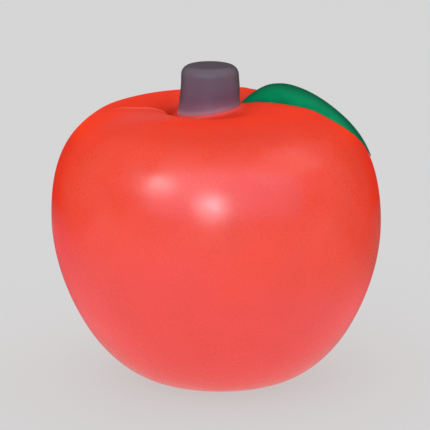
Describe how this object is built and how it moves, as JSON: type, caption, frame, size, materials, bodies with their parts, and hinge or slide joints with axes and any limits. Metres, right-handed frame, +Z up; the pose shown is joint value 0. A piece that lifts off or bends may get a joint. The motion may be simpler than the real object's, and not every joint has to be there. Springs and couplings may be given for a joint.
{
  "type": "stress ball",
  "caption": "Apple-shaped foam ball for squeezing in the hand, with a bending stem and a raised leaf; it presses flat and springs back.",
  "frame": {"origin": "centre of the flat base the ball stands on", "axes": "+Z up along the ball's axis, +X towards the side the leaf lies on, -Y to the front"},
  "size_m": [0.0726, 0.0726, 0.07],
  "materials": {
    "foam": "matte open-cell foam",
    "red_skin": "satin",
    "brown_skin": "satin",
    "green_skin": "satin"
  },
  "bodies": {
    "ball": {"foam_core": "foam", "body_skin": "red_skin"},
    "crown": {"leaf_core": "foam", "leaf_skin": "green_skin"},
    "stem": {"stem_core": "foam", "stem_skin": "brown_skin"}
  },
  "joints": [
    {"name": "press", "type": "slide", "parent": "ball", "child": "crown", "axis": [0, 0, -1], "range_m": [0, 0.018], "stiffness_N_per_m": 3000, "deforming": ["foam_core", "body_skin"]},
    {"name": "stem_bend", "type": "hinge", "parent": "crown", "child": "stem", "pos_m": [-0.001, 0, 0.058], "axis": [0, 1, 0], "range_deg": [-20, 20], "stiffness_Nm_per_rad": 0.02, "deforming": ["stem_core", "stem_skin"]}
  ]
}
